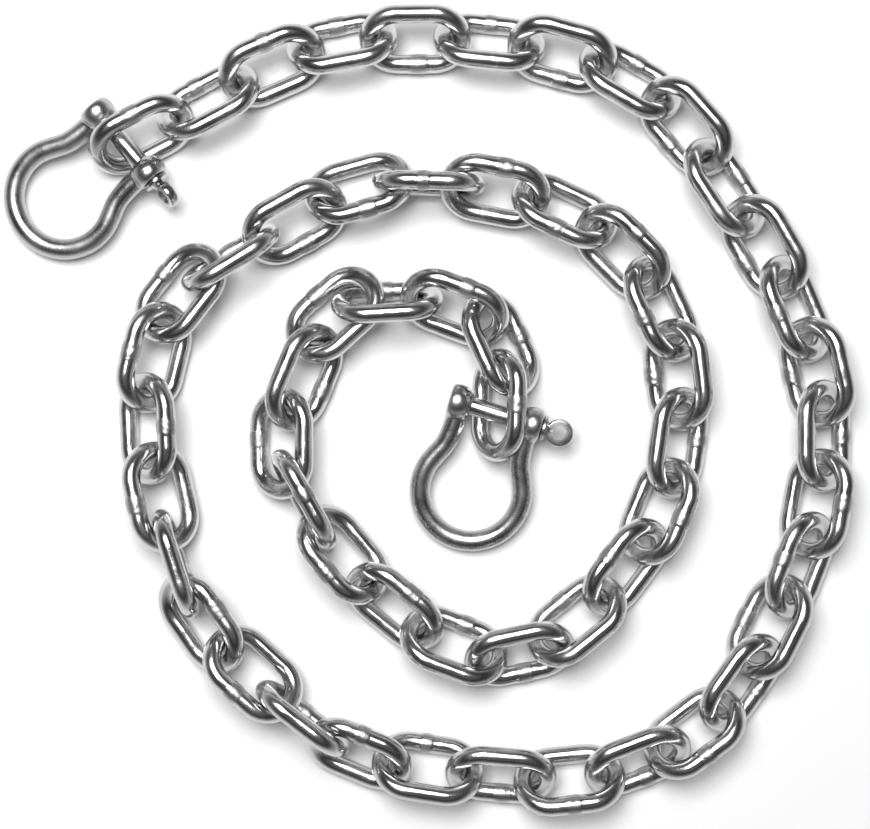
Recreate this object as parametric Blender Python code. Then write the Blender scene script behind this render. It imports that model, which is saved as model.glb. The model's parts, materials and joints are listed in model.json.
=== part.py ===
"""Anchor lead chain: 57 welded links laid in a spiral, a bow shackle at each end.

Every link, shackle bow and screw pin is its own object. One pair of links in
the tight outer stretch is joined with a small tack so the lead stays within
sixty objects. All sizes are in metres, +Z is up and the chain lies on Z = 0.
"""

import math

import bpy
import numpy as np
from mathutils import Matrix, Vector

for old in list(bpy.data.objects):
    bpy.data.objects.remove(old, do_unlink=True)

MM = 0.001

# Chain link: five-sixteenths class wire bent to a long oval and butt welded.
LINK_WIRE = 8.0 * MM
LINK_INSIDE_LENGTH = 32.0 * MM
LINK_INSIDE_WIDTH = 16.5 * MM
WIRE_GAP = 0.55 * MM            # air between two neighbouring links
END_STEPS = 6                   # straight pieces that make up one rounded end

# Bow shackle: round ring, narrower neck, two ears with a screw pin through.
BOW_WIRE = 9.0 * MM
BOW_RING_RADIUS = 21.8 * MM     # to the middle of the wire
BOW_REACH = 35.2 * MM           # pin axis to ring centre
EAR_SPACING = 30.8 * MM         # middle of one ear to the middle of the other
EAR_LENGTH = 9.8 * MM           # along the pin
EAR_DIAMETER = 15.3 * MM
PIN_DIAMETER = 7.9 * MM
PIN_CLEARANCE = 0.3 * MM        # all round the pin in its holes
COLLAR_DIAMETER = 11.0 * MM
COLLAR_LENGTH = 2.4 * MM
TAB_DIAMETER = 11.9 * MM
TAB_THICKNESS = 4.2 * MM
TAB_HOLE = 5.8 * MM
TAB_REACH = 28.4 * MM           # middle of the shackle to the middle of the tab

# Where each link lies, as x, y in millimetres for a link 32 mm long inside.
# The list runs from the outer shackle round the spiral to the inner shackle.
ROUTE_LINK_LENGTH = 32.0
ROUTE = [
    (-125, 118), (-96, 133), (-69, 148), (-40, 158), (-8, 159), (23, 158),
    (54, 153), (83, 142), (107, 122), (123, 96), (140, 71), (153, 45),
    (162, 18), (165, -9), (162, -38), (155, -64), (142, -90), (130, -114),
    (110, -135), (86, -147), (57, -155), (28, -153), (-3, -150), (-30, -145),
    (-56, -128), (-79, -109), (-98, -90), (-110, -62), (-117, -34), (-122, -6),
    (-119, 24), (-110, 50), (-87, 67), (-59, 79), (-33, 96), (-4, 99),
    (27, 96), (57, 88), (80, 68), (96, 45), (103, 17), (103, -12),
    (95, -41), (81, -65), (60, -87), (36, -102), (8, -98), (-17, -82),
    (-39, -60), (-56, -35), (-65, -12), (-55, 15), (-43, 41), (-21, 48),
    (9, 47), (29, 30), (26, 4),
]

# How far each link leans from flat, in degrees. Plus lifts its left-hand side
# as one walks the route, so the usual link is +42, then -42, and so on.
USUAL_LEAN = 42
END_LEAN = 53                   # the two links that hold the shackle pins
OTHER_LEANS = {
    1: END_LEAN, 57: END_LEAN,
    25: 88, 26: 35, 27: -38, 28: -86, 29: 38, 32: -28, 33: -75, 34: 40, 35: -35, 36: -90, 37: 38,
    50: -80, 51: -35, 52: 45, 53: -25, 54: -65,
}
JOINED_PAIR = (5, 6)            # links held together by the tack
TACK_DIAMETER = 3.4 * MM

# Middle of each pin, x and y in millimetres, and the heading of its ring.
OUTER_PIN = (-132.0, 114.9)
OUTER_HEADING = -139.5
INNER_PIN = (25.5, 0.6)
INNER_HEADING = -107.0


def link_line(steps=END_STEPS, side_points=0):
    """Middle line of a link lying flat, long way along X."""
    radius = (LINK_INSIDE_WIDTH + LINK_WIRE) / 2
    half_side = (LINK_INSIDE_LENGTH + LINK_WIRE) / 2 - radius
    points = []
    for end in (1, -1):
        for step in range(steps + 1):
            angle = math.pi * (step / steps - 0.5)
            x = end * (half_side + radius * math.cos(angle))
            points.append((x, end * radius * math.sin(angle), 0.0))
        for step in range(1, side_points + 1):
            x = half_side * (1 - 2 * step / (side_points + 1))
            points.append((end * x, end * radius, 0.0))
    return np.array(points)


def rest_height(lean):
    """Height of a link's middle when its lower side touches the ground."""
    radius = (LINK_INSIDE_WIDTH + LINK_WIRE) / 2
    return radius * abs(math.sin(lean)) + LINK_WIRE / 2


def lean_of(number):
    usual = USUAL_LEAN if number % 2 else -USUAL_LEAN
    return math.radians(OTHER_LEANS.get(number, usual))


def route_point(x, y):
    scale = LINK_INSIDE_LENGTH / ROUTE_LINK_LENGTH
    return np.array([x * scale, y * scale])


def link_turns(middles):
    """Rotation of every link, from where its neighbours lie."""
    pins = [route_point(*OUTER_PIN), route_point(*INNER_PIN)]
    meets = [(a + b) / 2 for a, b in zip(middles, middles[1:])]
    meets = [pins[0]] + meets + [pins[1]]
    turns = []
    for index in range(len(middles)):
        start, end = meets[index][:2], meets[index + 1][:2]
        if index == 0:
            start = middles[0][:2]
        if index == len(middles) - 1:
            end = middles[-1][:2]
        heading = math.atan2(end[1] - start[1], end[0] - start[0])
        turn = Matrix.Rotation(heading, 3, "Z") @ Matrix.Rotation(lean_of(index + 1), 3, "X")
        turns.append(np.array(turn))
    return turns


def ease_apart(rounds=240):
    """Lay the links on the route, then move neighbours until none touch."""
    middles = []
    for number, (x, y) in enumerate(ROUTE, start=1):
        middles.append(np.array([*route_point(x, y), rest_height(lean_of(number))]))
    line = link_line(steps=14, side_points=8)
    wanted = LINK_WIRE + WIRE_GAP
    for _ in range(rounds):
        turns = link_turns(middles)
        for index in range(len(middles) - 1):
            first = line @ turns[index].T + middles[index]
            second = line @ turns[index + 1].T + middles[index + 1]
            across = first[:, None] - second[None]
            far = np.linalg.norm(across, axis=2)
            i, j = np.unravel_index(far.argmin(), far.shape)
            short = wanted - far[i, j]
            if short > 0:
                push = across[i, j] / far[i, j] * short / 2
                middles[index] = middles[index] + push
                middles[index + 1] = middles[index + 1] - push
        for index, middle in enumerate(middles):
            middle[2] = max(middle[2], rest_height(lean_of(index + 1)))
    return middles, link_turns(middles)


def bow_line():
    """Middle line of a bow: up one leg, round the ring, down the other leg."""
    half = EAR_SPACING / 2
    blend = math.radians(-28)
    start = (half, BOW_REACH * 0.30)
    points = [(half, 0.0), start]
    join = (BOW_RING_RADIUS * math.cos(blend), BOW_REACH + BOW_RING_RADIUS * math.sin(blend))
    points.append(((start[0] * 0.72 + join[0] * 0.28), (start[1] * 0.45 + join[1] * 0.55)))
    steps = 18
    for step in range(steps + 1):
        angle = blend + (math.pi - 2 * blend) * step / steps
        points.append((BOW_RING_RADIUS * math.cos(angle), BOW_REACH + BOW_RING_RADIUS * math.sin(angle)))
    for x, y in reversed(points[:3]):
        points.append((-x, y))
    return [(x, y, 0.0) for x, y in points]


def material(name, grey, roughness):
    made = bpy.data.materials.new(name)
    made.use_nodes = True
    shader = made.node_tree.nodes["Principled BSDF"]
    shader.inputs["Base Color"].default_value = (grey, grey, grey, 1.0)
    shader.inputs["Metallic"].default_value = 1.0
    shader.inputs["Roughness"].default_value = roughness
    return made


def tube(name, points, wire, closed):
    """Round wire along a line of points, as a plain mesh object."""
    curve = bpy.data.curves.new(name, "CURVE")
    curve.dimensions = "3D"
    curve.bevel_depth = wire / 2
    curve.bevel_resolution = 2
    curve.use_fill_caps = not closed
    spline = curve.splines.new("POLY")
    spline.points.add(len(points) - 1)
    for point, place in zip(spline.points, points):
        point.co = (*place, 1.0)
    spline.use_cyclic_u = closed
    return bpy.data.objects.new(name, curve)


def turned(name, profile, sides=16):
    """Solid of revolution about X from (x, radius) pairs, closed at both ends."""
    count = len(profile)
    vertices = []
    faces = []
    for x, radius in profile:
        for side in range(sides):
            angle = 2 * math.pi * side / sides
            vertices.append((x, radius * math.cos(angle), radius * math.sin(angle)))
    for ring in range(count - 1):
        for side in range(sides):
            a = ring * sides + side
            b = ring * sides + (side + 1) % sides
            faces.append((a, b, b + sides, a + sides))
    faces.append(tuple(reversed(range(sides))))
    faces.append(tuple(range((count - 1) * sides, count * sides)))
    mesh = bpy.data.meshes.new(name)
    mesh.from_pydata(vertices, [], faces)
    mesh.validate()
    return bpy.data.objects.new(name, mesh)


def shown(thing, where, finish):
    chain.objects.link(thing)
    thing.matrix_world = where
    thing.data.materials.append(finish)
    return thing


def helper(thing, where):
    helpers.objects.link(thing)
    thing.matrix_world = where
    thing.hide_render = True
    thing.display_type = "WIRE"
    return thing


def combine(thing, other, operation):
    step = thing.modifiers.new(operation.lower(), "BOOLEAN")
    step.operation = operation
    step.solver = "EXACT"
    step.object = other


def as_mesh(thing):
    """The same object with its curve turned into a mesh."""
    name = thing.name
    mesh = bpy.data.meshes.new_from_object(thing)
    bpy.data.objects.remove(thing, do_unlink=True)
    return bpy.data.objects.new(name, mesh)


def place(middle, turn):
    where = Matrix(turn.tolist()).to_4x4()
    where.translation = Vector(middle.tolist())
    return where


def shackle_frame(pin, heading):
    """X along the pin to its tab, Y to the ring, which rests on the ground."""
    pin_height = rest_height(math.radians(END_LEAN))
    drop = pin_height - BOW_WIRE / 2
    tilt = -math.asin(drop / (BOW_REACH + BOW_RING_RADIUS))
    where = Matrix.Rotation(math.radians(heading - 90), 4, "Z") @ Matrix.Rotation(tilt, 4, "X")
    where = where @ Matrix.Rotation(math.pi, 4, "Y")
    where.translation = Vector((*route_point(*pin), pin_height))
    return where


def make_bow(name, where, finish):
    bow = shown(as_mesh(tube(name, bow_line(), BOW_WIRE, False)), where, finish)
    half = EAR_LENGTH / 2
    radius = EAR_DIAMETER / 2
    for side, label in ((-1, "left"), (1, "right")):
        ear = turned(name + "_ear_" + label, [
            (-half, radius * 0.66), (-half * 0.70, radius * 0.80), (-half * 0.35, radius * 0.92),
            (half * 0.1, radius), (half * 0.6, radius * 0.98), (half, radius * 0.86)])
        outward = Matrix.Rotation(0 if side == 1 else math.pi, 4, "Z")
        spot = where @ Matrix.Translation((side * EAR_SPACING / 2, 0, 0)) @ outward
        combine(bow, helper(ear, spot), "UNION")
    hole_radius = PIN_DIAMETER / 2 + PIN_CLEARANCE
    length = EAR_SPACING
    hole = turned(name + "_pin_hole", [(-length, hole_radius), (length, hole_radius)])
    combine(bow, helper(hole, where), "DIFFERENCE")
    return bow


def make_pin(name, where, finish, tab_turn):
    radius = PIN_DIAMETER / 2
    left = -(EAR_SPACING + EAR_LENGTH) / 2 + PIN_CLEARANCE
    collar = (EAR_SPACING + EAR_LENGTH) / 2 + PIN_CLEARANCE
    neck = TAB_THICKNESS * 0.55
    pin = turned(name, [
        (left, radius * 0.86), (left + 0.8 * MM, radius), (collar, radius),
        (collar, COLLAR_DIAMETER / 2), (collar + COLLAR_LENGTH * 0.7, COLLAR_DIAMETER / 2),
        (collar + COLLAR_LENGTH, neck), (TAB_REACH - TAB_DIAMETER * 0.3, neck)])
    spun = where @ Matrix.Rotation(math.radians(tab_turn), 4, "X")
    shown(pin, spun, finish)
    upright = spun @ Matrix.Translation((TAB_REACH, 0, 0)) @ Matrix.Rotation(math.pi / 2, 4, "Y")
    half = TAB_THICKNESS / 2
    edge = TAB_DIAMETER / 2
    tab = turned(name + "_tab", [(-half, edge * 0.9), (-half * 0.6, edge), (half * 0.6, edge), (half, edge * 0.9)])
    combine(pin, helper(tab, upright), "UNION")
    eye = turned(name + "_eye", [(-edge, TAB_HOLE / 2), (edge, TAB_HOLE / 2)], sides=16)
    combine(pin, helper(eye, upright), "DIFFERENCE")
    return pin


def join_next(link, index):
    """Tack the following link to this one where their wires come closest."""
    line = link_line(steps=14, side_points=8)
    first = line @ turns[index].T + middles[index]
    second = line @ turns[index + 1].T + middles[index + 1]
    far = np.linalg.norm(first[:, None] - second[None], axis=2)
    i, j = np.unravel_index(far.argmin(), far.shape)
    follower = as_mesh(tube("next_link", link_points, LINK_WIRE, True))
    combine(link, helper(follower, place(middles[index + 1], turns[index + 1])), "UNION")
    half = WIRE_GAP / 2 + LINK_WIRE / 4
    tack = turned("tack", [(-half, TACK_DIAMETER / 2), (half, TACK_DIAMETER / 2)], sides=12)
    along = Vector((first[i] - second[j]).tolist())
    where = along.to_track_quat("X", "Z").to_matrix().to_4x4()
    where.translation = Vector(((first[i] + second[j]) / 2).tolist())
    combine(link, helper(tack, where), "UNION")


def centre_everything():
    """Slide the whole lead so its box stands centred on the origin."""
    bpy.context.view_layer.update()
    graph = bpy.context.evaluated_depsgraph_get()
    corners = []
    for thing in chain.objects:
        mesh = thing.evaluated_get(graph).to_mesh()
        corners.extend(thing.matrix_world @ vertex.co for vertex in mesh.vertices)
    low = [min(corner[axis] for corner in corners) for axis in range(3)]
    high = [max(corner[axis] for corner in corners) for axis in range(3)]
    slide = Matrix.Translation((-(low[0] + high[0]) / 2, -(low[1] + high[1]) / 2, -low[2]))
    for thing in list(chain.objects) + list(helpers.objects):
        thing.matrix_world = slide @ thing.matrix_world


chain = bpy.data.collections.new("anchor_lead_chain")
helpers = bpy.data.collections.new("helpers")
bpy.context.scene.collection.children.link(chain)
bpy.context.scene.collection.children.link(helpers)

steel_link = material("polished_link_steel", 0.62, 0.22)
steel_bow = material("forged_bow_steel", 0.55, 0.28)
steel_pin = material("turned_pin_steel", 0.66, 0.20)

middles, turns = ease_apart()
link_points = link_line()

for index in range(len(middles)):
    number = index + 1
    if number == JOINED_PAIR[1]:
        continue
    name = "link_%02d" % number
    if number == JOINED_PAIR[0]:
        name = "link_%02d_%02d" % JOINED_PAIR
    link = as_mesh(tube(name, link_points, LINK_WIRE, True))
    shown(link, place(middles[index], turns[index]), steel_link)
    if number == JOINED_PAIR[0]:
        join_next(link, index)

make_bow("outer_shackle_bow", shackle_frame(OUTER_PIN, OUTER_HEADING), steel_bow)
make_bow("inner_shackle_bow", shackle_frame(INNER_PIN, INNER_HEADING), steel_bow)
make_pin("outer_shackle_pin", shackle_frame(OUTER_PIN, OUTER_HEADING), steel_pin, 60)
make_pin("inner_shackle_pin", shackle_frame(INNER_PIN, INNER_HEADING), steel_pin, 0)
centre_everything()
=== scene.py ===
"""Looks of the anchor lead chain: polished steel links and bow shackles on a pale floor."""

import json
import math
import random

import bpy
import numpy as np
from mathutils import Matrix, Vector, noise

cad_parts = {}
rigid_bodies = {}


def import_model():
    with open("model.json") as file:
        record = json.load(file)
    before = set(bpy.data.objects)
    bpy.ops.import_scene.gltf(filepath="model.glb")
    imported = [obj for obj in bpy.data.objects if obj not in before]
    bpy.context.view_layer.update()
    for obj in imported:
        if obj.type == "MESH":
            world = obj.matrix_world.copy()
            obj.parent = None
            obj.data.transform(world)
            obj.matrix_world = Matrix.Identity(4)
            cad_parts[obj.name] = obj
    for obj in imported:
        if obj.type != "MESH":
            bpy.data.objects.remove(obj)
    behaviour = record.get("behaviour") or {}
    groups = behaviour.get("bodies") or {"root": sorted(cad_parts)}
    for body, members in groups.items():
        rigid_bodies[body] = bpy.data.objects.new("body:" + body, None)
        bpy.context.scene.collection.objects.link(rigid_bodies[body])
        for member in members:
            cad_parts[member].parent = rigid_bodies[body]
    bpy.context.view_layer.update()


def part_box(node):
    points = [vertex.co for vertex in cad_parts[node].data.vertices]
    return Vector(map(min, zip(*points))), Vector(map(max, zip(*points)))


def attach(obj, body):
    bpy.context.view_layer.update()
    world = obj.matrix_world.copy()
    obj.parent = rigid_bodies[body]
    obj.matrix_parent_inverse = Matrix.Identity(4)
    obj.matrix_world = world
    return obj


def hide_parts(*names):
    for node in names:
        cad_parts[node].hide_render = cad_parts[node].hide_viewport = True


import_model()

MM = 0.001

# The same sizes and the same laid route as the solids have.
LINK_WIRE = 8.0 * MM
LINK_INSIDE_LENGTH = 32.0 * MM
LINK_INSIDE_WIDTH = 16.5 * MM
WIRE_GAP = 0.55 * MM
BOW_WIRE = 9.0 * MM
BOW_RING_RADIUS = 21.8 * MM
BOW_REACH = 35.2 * MM
EAR_SPACING = 30.8 * MM
EAR_LENGTH = 9.8 * MM
EAR_DIAMETER = 15.3 * MM
PIN_DIAMETER = 7.9 * MM
PIN_CLEARANCE = 0.3 * MM
COLLAR_DIAMETER = 11.0 * MM
COLLAR_LENGTH = 2.4 * MM
TAB_DIAMETER = 11.9 * MM
TAB_THICKNESS = 4.2 * MM
TAB_HOLE = 5.8 * MM
TAB_REACH = 28.4 * MM

# Where each link lies, as x, y in millimetres, from the outer shackle to the inner.
ROUTE = [
    (-125, 118), (-96, 133), (-69, 148), (-40, 158), (-8, 159), (23, 158),
    (54, 153), (83, 142), (107, 122), (123, 96), (140, 71), (153, 45),
    (162, 18), (165, -9), (162, -38), (155, -64), (142, -90), (130, -114),
    (110, -135), (86, -147), (57, -155), (28, -153), (-3, -150), (-30, -145),
    (-56, -128), (-79, -109), (-98, -90), (-110, -62), (-117, -34), (-122, -6),
    (-119, 24), (-110, 50), (-87, 67), (-59, 79), (-33, 96), (-4, 99),
    (27, 96), (57, 88), (80, 68), (96, 45), (103, 17), (103, -12),
    (95, -41), (81, -65), (60, -87), (36, -102), (8, -98), (-17, -82),
    (-39, -60), (-56, -35), (-65, -12), (-55, 15), (-43, 41), (-21, 48),
    (9, 47), (29, 30), (26, 4),
]

# How far each link leans from flat, in degrees. Plus lifts its left-hand side
# as one walks the route, so the usual link is +42, then -42, and so on.
USUAL_LEAN = 42
END_LEAN = 53                   # the two links that hold the shackle pins
OTHER_LEANS = {
    1: END_LEAN, 57: END_LEAN,
    25: 88, 26: 35, 27: -38, 28: -86, 29: 38,
    32: -28, 33: -75, 34: 40, 35: -35, 36: -90, 37: 38,
    50: -80, 51: -35, 52: 45, 53: -25, 54: -65,
}
JOINED_PAIR = (5, 6)            # both show in place of one solid

# Middle of each pin, x and y in millimetres, and the heading of its ring.
OUTER_PIN = (-132.0, 114.9)
OUTER_HEADING = -139.5
INNER_PIN = (25.5, 0.6)
INNER_HEADING = -107.0
OUTER_TAB_TURN = 60             # how far each pin is screwed round, in degrees
INNER_TAB_TURN = 0
GUIDE_LINK = 30                 # its solid tells how far the chain was slid

# Fineness of the shapes.
LINK_SIDES = 24
BOW_SIDES = 32
BOW_RINGS = 160
LATHE_SIDES = 64
MELT_VOXEL = 0.45 * MM
EAR_TIP = 0.5 * MM              # radius left at the closed end of an ear
PIN_TIP = 0.4 * MM


def link_line(steps, side_points):
    """Middle line of a link lying flat, long way along X."""
    radius = (LINK_INSIDE_WIDTH + LINK_WIRE) / 2
    half_side = (LINK_INSIDE_LENGTH + LINK_WIRE) / 2 - radius
    points = []
    for end in (1, -1):
        for step in range(steps + 1):
            angle = math.pi * (step / steps - 0.5)
            x = end * (half_side + radius * math.cos(angle))
            points.append((x, end * radius * math.sin(angle), 0.0))
        for step in range(1, side_points + 1):
            x = half_side * (1 - 2 * step / (side_points + 1))
            points.append((end * x, end * radius, 0.0))
    return np.array(points)


def rest_height(lean):
    """Height of a link's middle when its lower side touches the ground."""
    radius = (LINK_INSIDE_WIDTH + LINK_WIRE) / 2
    return radius * abs(math.sin(lean)) + LINK_WIRE / 2


def lean_of(number):
    usual = USUAL_LEAN if number % 2 else -USUAL_LEAN
    return math.radians(OTHER_LEANS.get(number, usual))


def route_point(x, y):
    return np.array([x * MM, y * MM])


def link_turns(middles):
    """Each link's rotation: along the line of its two meeting points, then leaning."""
    pins = [route_point(*OUTER_PIN), route_point(*INNER_PIN)]
    meets = [(a + b) / 2 for a, b in zip(middles, middles[1:])]
    meets = [pins[0]] + meets + [pins[1]]
    turns = []
    for index in range(len(middles)):
        start, end = meets[index][:2], meets[index + 1][:2]
        if index == 0:
            start = middles[0][:2]
        if index == len(middles) - 1:
            end = middles[-1][:2]
        heading = math.atan2(end[1] - start[1], end[0] - start[0])
        turn = Matrix.Rotation(heading, 3, "Z") @ Matrix.Rotation(lean_of(index + 1), 3, "X")
        turns.append(np.array(turn))
    return turns


def ease_apart(rounds=240):
    """Lay the links on the route, then move neighbours until none touch."""
    middles = []
    for number, (x, y) in enumerate(ROUTE, start=1):
        middles.append(np.array([*route_point(x, y), rest_height(lean_of(number))]))
    line = link_line(steps=14, side_points=8)
    wanted = LINK_WIRE + WIRE_GAP
    for _ in range(rounds):
        turns = link_turns(middles)
        for index in range(len(middles) - 1):
            first = line @ turns[index].T + middles[index]
            second = line @ turns[index + 1].T + middles[index + 1]
            across = first[:, None] - second[None]
            far = np.linalg.norm(across, axis=2)
            i, j = np.unravel_index(far.argmin(), far.shape)
            short = wanted - far[i, j]
            if short > 0:
                push = across[i, j] / far[i, j] * short / 2
                middles[index] = middles[index] + push
                middles[index + 1] = middles[index + 1] - push
        for index, middle in enumerate(middles):
            middle[2] = max(middle[2], rest_height(lean_of(index + 1)))
    return middles, link_turns(middles)


def shackle_frame(pin, heading):
    """X along the pin to its tab, Y to the ring, which rests on the ground."""
    pin_height = rest_height(math.radians(END_LEAN))
    drop = pin_height - BOW_WIRE / 2
    tilt = -math.asin(drop / (BOW_REACH + BOW_RING_RADIUS))
    where = Matrix.Rotation(math.radians(heading - 90), 4, "Z") @ Matrix.Rotation(tilt, 4, "X")
    where = where @ Matrix.Rotation(math.pi, 4, "Y")
    where.translation = Vector((*route_point(*pin), pin_height))
    return where


middles, turns = ease_apart()

# The solids were slid so that their box stands on the origin.
low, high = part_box("link_30")
cad_middle = Vector(((low[0] + high[0]) / 2, (low[1] + high[1]) / 2, 0.0))
laid_middle = middles[GUIDE_LINK - 1]
slide = cad_middle - Vector((laid_middle[0], laid_middle[1], 0.0))
SLIDE = Matrix.Translation(slide)

# ---------------------------------------------------------------- materials


def ramp_node(tree, source, low_at, low_value, high_at, high_value):
    """A 0 to 1 signal remapped between two places, as a grey."""
    node = tree.nodes.new("ShaderNodeMapRange")
    node.inputs["From Min"].default_value = low_at
    node.inputs["From Max"].default_value = high_at
    node.inputs["To Min"].default_value = low_value
    node.inputs["To Max"].default_value = high_value
    tree.links.new(source, node.inputs["Value"])
    return node.outputs["Result"]


def noise_node(tree, vector, scale, detail, roughness=0.5):
    node = tree.nodes.new("ShaderNodeTexNoise")
    node.inputs["Scale"].default_value = scale
    node.inputs["Detail"].default_value = detail
    node.inputs["Roughness"].default_value = roughness
    tree.links.new(vector, node.inputs["Vector"])
    return node.outputs["Fac"]


def polished_steel(name, tone, rough, stretch):
    """Polished stainless steel with polishing lines, soft waves and a dull weld."""
    made = bpy.data.materials.new(name)
    made.use_nodes = True
    tree = made.node_tree
    shader = tree.nodes["Principled BSDF"]
    shader.inputs["Metallic"].default_value = 1.0
    place = tree.nodes.new("ShaderNodeAttribute")
    place.attribute_name = "own_place"
    coords = place.outputs["Vector"]
    stretched = tree.nodes.new("ShaderNodeMapping")
    stretched.inputs["Scale"].default_value = stretch
    tree.links.new(coords, stretched.inputs["Vector"])

    weld = tree.nodes.new("ShaderNodeAttribute")
    weld.attribute_name = "weld"
    weld = weld.outputs["Fac"]

    blotch = noise_node(tree, coords, 90.0, 3.0)
    lines = noise_node(tree, stretched.outputs["Vector"], 900.0, 2.0, 0.6)
    waves = noise_node(tree, coords, 170.0, 2.0)
    pits = noise_node(tree, coords, 1400.0, 2.0, 0.7)

    grey = ramp_node(tree, blotch, 0.3, tone * 0.90, 0.7, tone * 1.08)
    dull = tree.nodes.new("ShaderNodeMix")
    dull.data_type = "FLOAT"
    tree.links.new(weld, dull.inputs[0])
    tree.links.new(grey, dull.inputs[2])
    dull.inputs[3].default_value = tone * 0.72
    colour = tree.nodes.new("ShaderNodeCombineColor")
    for channel in ("Red", "Green", "Blue"):
        tree.links.new(dull.outputs[0], colour.inputs[channel])
    tree.links.new(colour.outputs["Color"], shader.inputs["Base Color"])

    smear = ramp_node(tree, blotch, 0.35, rough * 0.75, 0.75, rough * 1.5)
    scratch = ramp_node(tree, lines, 0.45, 0.0, 0.75, rough * 0.5)
    add = tree.nodes.new("ShaderNodeMath")
    add.operation = "ADD"
    tree.links.new(smear, add.inputs[0])
    tree.links.new(scratch, add.inputs[1])
    weld_rough = tree.nodes.new("ShaderNodeMath")
    weld_rough.operation = "MULTIPLY_ADD"
    tree.links.new(weld, weld_rough.inputs[0])
    weld_rough.inputs[1].default_value = 0.16
    tree.links.new(add.outputs[0], weld_rough.inputs[2])
    tree.links.new(weld_rough.outputs[0], shader.inputs["Roughness"])

    wavy = tree.nodes.new("ShaderNodeBump")
    wavy.inputs["Strength"].default_value = 0.35
    wavy.inputs["Distance"].default_value = 0.35 * MM
    tree.links.new(waves, wavy.inputs["Height"])
    lined = tree.nodes.new("ShaderNodeBump")
    lined.inputs["Strength"].default_value = 0.10
    lined.inputs["Distance"].default_value = 0.02 * MM
    tree.links.new(lines, lined.inputs["Height"])
    tree.links.new(wavy.outputs["Normal"], lined.inputs["Normal"])
    pitted = tree.nodes.new("ShaderNodeBump")
    pitted.inputs["Distance"].default_value = 0.10 * MM
    tree.links.new(weld, pitted.inputs["Strength"])
    tree.links.new(pits, pitted.inputs["Height"])
    tree.links.new(lined.outputs["Normal"], pitted.inputs["Normal"])
    tree.links.new(pitted.outputs["Normal"], shader.inputs["Normal"])
    return made


link_steel = polished_steel("link_steel_polished", 0.58, 0.18, (1.0, 12.0, 12.0))
bow_steel = polished_steel("bow_steel_polished", 0.48, 0.25, (3.0, 3.0, 3.0))
pin_steel = polished_steel("pin_steel_turned", 0.54, 0.20, (14.0, 1.0, 1.0))

# ---------------------------------------------------------------- shapes

model = bpy.data.collections.new("detailed_chain")
bpy.context.scene.collection.children.link(model)


def ring_tube(name, centres, radii, sides, closed):
    """Skin a round tube over a line of points; radii is one row of radii per ring."""
    count = len(centres)
    vertices = []
    for index in range(count):
        before = centres[(index - 1) % count if closed else max(index - 1, 0)]
        after = centres[(index + 1) % count if closed else min(index + 1, count - 1)]
        along = (Vector(after) - Vector(before)).normalized()
        up = Vector((0, 0, 1))
        side = along.cross(up).normalized()
        for turn in range(sides):
            angle = 2 * math.pi * turn / sides
            radius = float(radii[index][turn])
            outward = side * math.cos(angle) + up * math.sin(angle)
            vertices.append(Vector(centres[index]) + outward * radius)
    faces = []
    for ring in range(count if closed else count - 1):
        for turn in range(sides):
            a = ring * sides + turn
            b = ring * sides + (turn + 1) % sides
            c = ((ring + 1) % count) * sides + (turn + 1) % sides
            d = ((ring + 1) % count) * sides + turn
            faces.append((a, b, c, d))
    if not closed:
        faces.append(tuple(reversed(range(sides))))
        faces.append(tuple(range((count - 1) * sides, count * sides)))
    mesh = bpy.data.meshes.new(name)
    mesh.from_pydata(vertices, [], faces)
    for face in mesh.polygons:
        face.use_smooth = True
    return mesh


def link_mesh(name, seed):
    """One link: round wire, a little uneven, with the upset of its butt weld."""
    chance = random.Random(seed)
    side = chance.choice((1, -1))
    weld_at = chance.uniform(-2.5, 2.5) * MM
    weld_half = chance.uniform(2.6, 4.2) * MM
    swell = chance.uniform(0.15, 0.32) * MM
    line = link_line(steps=28, side_points=30)
    radii = []
    welds = []
    where = Vector((seed * 3.7, seed * 1.3, 0.0))
    for x, y, _ in line:
        near = 0.0
        if y * side > 0.9 * (LINK_INSIDE_WIDTH + LINK_WIRE) / 2:
            near = max(0.0, 1 - ((x - weld_at) / weld_half) ** 2) ** 0.5
        row = []
        for turn in range(LINK_SIDES):
            angle = 2 * math.pi * turn / LINK_SIDES
            around = Vector((math.cos(angle), math.sin(angle), 0)) * 0.6
            spot = Vector((x, y, 0)) / (5 * MM) + around
            uneven = noise.noise(spot + where) * 0.05 * MM
            lumps = noise.noise(spot * 3.1 + where) * 0.22 * MM * near
            row.append(LINK_WIRE / 2 - 0.03 * MM + uneven + swell * near + lumps)
            welds.append(near)
        radii.append(row)
    mesh = ring_tube(name, line.tolist(), radii, LINK_SIDES, True)
    layer = mesh.attributes.new("weld", "FLOAT", "POINT")
    layer.data.foreach_set("value", welds)
    return mesh


def show(name, mesh, where, finish, node):
    """Put a mesh in place of a solid and keep its unplaced shape for the texture."""
    count = len(mesh.vertices)
    spots = np.zeros(count * 3, np.float32)
    mesh.vertices.foreach_get("co", spots)
    spots = spots.reshape(-1, 3) + np.array([0.31, 0.17, 0.23]) * len(model.objects)
    layer = mesh.attributes.new("own_place", "FLOAT_VECTOR", "POINT")
    layer.data.foreach_set("vector", spots.astype(np.float32).ravel())
    mesh.transform(where)
    thing = bpy.data.objects.new(name, mesh)
    model.objects.link(thing)
    mesh.materials.append(finish)
    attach(thing, node)
    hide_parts(node)


def lay(number):
    """Where a link lies, by its number."""
    where = Matrix(turns[number - 1].tolist()).to_4x4()
    where.translation = Vector(middles[number - 1].tolist())
    return SLIDE @ where


for number in range(1, len(ROUTE) + 1):
    node = "link_%02d" % number
    if number in JOINED_PAIR:
        node = "link_%02d_%02d" % JOINED_PAIR
    name = "steel_link_%02d" % number
    show(name, link_mesh(name, number), lay(number), link_steel, node)


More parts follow.
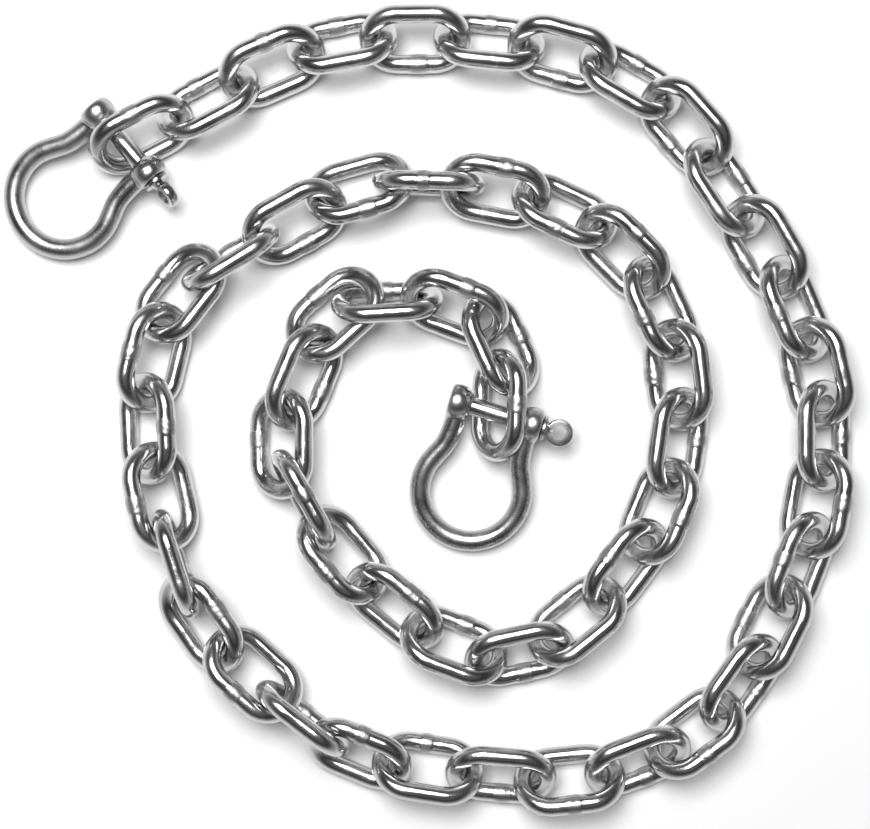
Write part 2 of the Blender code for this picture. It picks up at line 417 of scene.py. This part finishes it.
def smooth_curve(points, count):
    """Even points along a Catmull-Rom curve through the given ones."""
    padded = [2 * points[0] - points[1]] + points + [2 * points[-1] - points[-2]]
    fine = []
    for a, b, c, d in zip(padded, padded[1:], padded[2:], padded[3:]):
        for step in range(24):
            t = step / 24
            fine.append(0.5 * (2 * b + (c - a) * t + (2 * a - 5 * b + 4 * c - d) * t * t
                               + (3 * b - a - 3 * c + d) * t * t * t))
    fine.append(points[-1])
    lengths = [0.0]
    for a, b in zip(fine, fine[1:]):
        lengths.append(lengths[-1] + (b - a).length)
    even = []
    at = 0
    for step in range(count):
        wanted = lengths[-1] * step / (count - 1)
        while at < len(lengths) - 2 and lengths[at + 1] < wanted:
            at += 1
        span = lengths[at + 1] - lengths[at]
        even.append(fine[at].lerp(fine[at + 1], (wanted - lengths[at]) / span))
    return even


def bow_points():
    """Points along the bow's wire, from ear to ear round the ring."""
    half = EAR_SPACING / 2
    blend = math.radians(-28)
    start = (half, BOW_REACH * 0.30)
    join = (BOW_RING_RADIUS * math.cos(blend), BOW_REACH + BOW_RING_RADIUS * math.sin(blend))
    points = [(half, 0.0), start]
    points.append((start[0] * 0.72 + join[0] * 0.28, start[1] * 0.45 + join[1] * 0.55))
    for step in range(19):
        angle = blend + (math.pi - 2 * blend) * step / 18
        points.append((BOW_RING_RADIUS * math.cos(angle),
                       BOW_REACH + BOW_RING_RADIUS * math.sin(angle)))
    for x, y in reversed(points[:3]):
        points.append((-x, y))
    return [Vector((x, y, 0.0)) for x, y in points]


def lathe(name, profile, sides=LATHE_SIDES):
    """Solid of revolution about X from (x, radius) pairs."""
    vertices = []
    faces = []
    for x, radius in profile:
        for side in range(sides):
            angle = 2 * math.pi * side / sides
            vertices.append((x, radius * math.cos(angle), radius * math.sin(angle)))
    for ring in range(len(profile) - 1):
        for side in range(sides):
            a = ring * sides + side
            b = ring * sides + (side + 1) % sides
            faces.append((a, b, b + sides, a + sides))
    faces.append(tuple(reversed(range(sides))))
    faces.append(tuple(range((len(profile) - 1) * sides, len(profile) * sides)))
    mesh = bpy.data.meshes.new(name)
    mesh.from_pydata(vertices, [], faces)
    return mesh


def rounded(profile, corner, steps=4):
    """The same profile with its inner corners rounded off."""
    smooth = [profile[0]]
    for before, here, after in zip(profile, profile[1:], profile[2:]):
        a, b, c = Vector(before), Vector(here), Vector(after)
        cut = min(corner, (a - b).length * 0.45, (c - b).length * 0.45)
        start = b + (a - b).normalized() * cut
        end = b + (c - b).normalized() * cut
        for step in range(steps + 1):
            t = step / steps
            spot = start * (1 - t) ** 2 + b * 2 * t * (1 - t) + end * t * t
            smooth.append((spot.x, spot.y))
    smooth.append(profile[-1])
    return smooth


def baked(thing):
    """Mesh of an object with its modifiers applied."""
    bpy.context.view_layer.update()
    graph = bpy.context.evaluated_depsgraph_get()
    return bpy.data.meshes.new_from_object(thing.evaluated_get(graph))


def temporary(name, mesh, where=None):
    """A helper object for modelling, removed again afterwards."""
    thing = bpy.data.objects.new(name, mesh)
    bpy.context.scene.collection.objects.link(thing)
    if where is not None:
        thing.matrix_world = where
    return thing


def boolean(thing, other, operation):
    step = thing.modifiers.new(operation.lower(), "BOOLEAN")
    step.operation = operation
    step.solver = "EXACT"
    step.object = other


def bow_mesh(name):
    """A forged bow: round wire and two rounded ears melted together, then bored."""
    line = smooth_curve(bow_points(), BOW_RINGS)
    centres = [tuple(point) for point in line]
    radii = [[BOW_WIRE / 2] * BOW_SIDES for _ in line]
    wire = ring_tube(name + "_wire", centres, radii, BOW_SIDES, False)
    work = temporary(name + "_work", wire)
    half = EAR_LENGTH / 2
    radius = EAR_DIAMETER / 2
    profile = rounded([
        (-half, EAR_TIP), (-half, radius * 0.64), (-half * 0.70, radius * 0.80),
        (-half * 0.35, radius * 0.92), (half * 0.1, radius), (half * 0.6, radius * 0.98),
        (half, radius * 0.86), (half, EAR_TIP)], 1.2 * MM)
    helpers = [work]
    for side in (-1, 1):
        outward = Matrix.Rotation(0 if side == 1 else math.pi, 4, "Z")
        spot = Matrix.Translation((side * EAR_SPACING / 2, 0, 0)) @ outward
        ear = temporary("ear", lathe("ear", profile), spot)
        helpers.append(ear)
        boolean(work, ear, "UNION")
    melt = work.modifiers.new("melt", "REMESH")
    melt.mode = "VOXEL"
    melt.voxel_size = MELT_VOXEL
    ease = work.modifiers.new("ease", "SMOOTH")
    ease.factor = 0.5
    ease.iterations = 8
    hole_radius = PIN_DIAMETER / 2 + PIN_CLEARANCE * 0.6
    reach = EAR_SPACING
    hole = temporary("hole", lathe("hole", [(-reach, hole_radius), (reach, hole_radius)], 48))
    helpers.append(hole)
    boolean(work, hole, "DIFFERENCE")
    mesh = baked(work)
    for thing in helpers:
        bpy.data.objects.remove(thing, do_unlink=True)
    mesh.name = name
    for face in mesh.polygons:
        face.use_smooth = True
    return mesh


def pin_mesh(name):
    """The screw pin: shaft, collar and the flat round tab with its eye."""
    radius = PIN_DIAMETER / 2
    left = -(EAR_SPACING + EAR_LENGTH) / 2 + PIN_CLEARANCE
    collar = (EAR_SPACING + EAR_LENGTH) / 2 + PIN_CLEARANCE
    profile = rounded([
        (left, PIN_TIP), (left, radius), (collar, radius), (collar, COLLAR_DIAMETER / 2),
        (collar + COLLAR_LENGTH * 0.7, COLLAR_DIAMETER / 2),
        (collar + COLLAR_LENGTH, TAB_THICKNESS * 0.62),
        (TAB_REACH - TAB_DIAMETER * 0.34, TAB_THICKNESS * 0.56),
        (TAB_REACH - TAB_DIAMETER * 0.30, PIN_TIP)], 0.5 * MM)
    work = temporary(name + "_work", lathe(name + "_shaft", profile))
    half = TAB_THICKNESS / 2
    edge = TAB_DIAMETER / 2
    upright = Matrix.Translation((TAB_REACH, 0, 0)) @ Matrix.Rotation(math.pi / 2, 4, "Y")
    tab = temporary("tab", lathe("tab", rounded([
        (-half, PIN_TIP), (-half, edge * 0.93), (-half * 0.5, edge),
        (half * 0.5, edge), (half, edge * 0.93), (half, PIN_TIP)], 0.7 * MM)), upright)
    eye = temporary("eye", lathe("eye", rounded([
        (-edge, TAB_HOLE * 0.5), (-half, TAB_HOLE * 0.5), (half, TAB_HOLE * 0.5),
        (edge, TAB_HOLE * 0.5)], 0.3 * MM), 40), upright)
    boolean(work, tab, "UNION")
    boolean(work, eye, "DIFFERENCE")
    bevel = work.modifiers.new("edge", "BEVEL")
    bevel.width = 0.25 * MM
    bevel.segments = 2
    bevel.limit_method = "ANGLE"
    bevel.angle_limit = math.radians(50)
    mesh = baked(work)
    for thing in (work, tab, eye):
        bpy.data.objects.remove(thing, do_unlink=True)
    mesh.name = name
    for face in mesh.polygons:
        face.use_smooth = True
    return mesh


for label, pin, heading, tab_turn in (
        ("outer", OUTER_PIN, OUTER_HEADING, OUTER_TAB_TURN),
        ("inner", INNER_PIN, INNER_HEADING, INNER_TAB_TURN)):
    where = SLIDE @ shackle_frame(pin, heading)
    bow = label + "_shackle_bow"
    screw = label + "_shackle_pin"
    show("steel_" + bow, bow_mesh("steel_" + bow), where, bow_steel, bow)
    spun = where @ Matrix.Rotation(math.radians(tab_turn), 4, "X")
    show("steel_" + screw, pin_mesh("steel_" + screw), spun, pin_steel, screw)

# ---------------------------------------------------------------- stage

bpy.ops.mesh.primitive_plane_add(size=6.0, location=(0, 0, 0))
floor = bpy.context.object
floor.name = "pale_floor"
paper = bpy.data.materials.new("pale_paper")
paper.use_nodes = True
paper_shader = paper.node_tree.nodes["Principled BSDF"]
paper_shader.inputs["Base Color"].default_value = (0.95, 0.95, 0.95, 1.0)
paper_shader.inputs["Roughness"].default_value = 0.9
floor.data.materials.append(paper)

world = bpy.data.worlds.new("studio")
bpy.context.scene.world = world
world.use_nodes = True
sky = world.node_tree
direction = sky.nodes.new("ShaderNodeTexCoord").outputs["Generated"]
split = sky.nodes.new("ShaderNodeSeparateXYZ")
sky.links.new(direction, split.inputs["Vector"])
band = sky.nodes.new("ShaderNodeValToRGB")
sky.links.new(split.outputs["Z"], band.inputs["Fac"])
stops = band.color_ramp.elements
stops[0].position = 0.0
stops[0].color = (0.80, 0.80, 0.80, 1.0)
stops[1].position = 1.0
stops[1].color = (0.07, 0.07, 0.07, 1.0)
for height, grey in ((0.14, 0.52), (0.32, 0.24), (0.55, 0.06), (0.74, 0.05), (0.88, 0.14)):
    stop = stops.new(height)
    stop.color = (grey, grey, grey, 1.0)
sky.links.new(band.outputs["Color"], sky.nodes["Background"].inputs["Color"])
sky.nodes["Background"].inputs["Strength"].default_value = 1.0


def soft_light(name, place, target, size, radiance):
    """A rectangular softbox of a given brightness, aimed at a point."""
    light = bpy.data.lights.new(name, "AREA")
    light.shape = "RECTANGLE"
    light.size, light.size_y = size
    light.energy = radiance * math.pi * size[0] * size[1]
    thing = bpy.data.objects.new(name, light)
    bpy.context.scene.collection.objects.link(thing)
    thing.location = place
    aim = Vector(target) - Vector(place)
    thing.rotation_euler = aim.to_track_quat("-Z", "Y").to_euler()


soft_light("main_softbox", (-0.16, 0.36, 1.25), (0, 0, 0), (0.78, 0.72), 12.0)

CAMERA_HEIGHT = 0.841
SEEN_WIDTH = 0.36975            # width seen at the middle height of the links
LINK_MIDDLE_HEIGHT = 0.011
lens = bpy.data.cameras.new("camera")
lens.sensor_width = 36.0
lens.lens = 36.0 * (CAMERA_HEIGHT - LINK_MIDDLE_HEIGHT) / SEEN_WIDTH
camera = bpy.data.objects.new("camera", lens)
bpy.context.scene.collection.objects.link(camera)
camera.location = (slide.x, slide.y, CAMERA_HEIGHT)
bpy.context.scene.camera = camera
bpy.context.scene.view_settings.view_transform = "Standard"
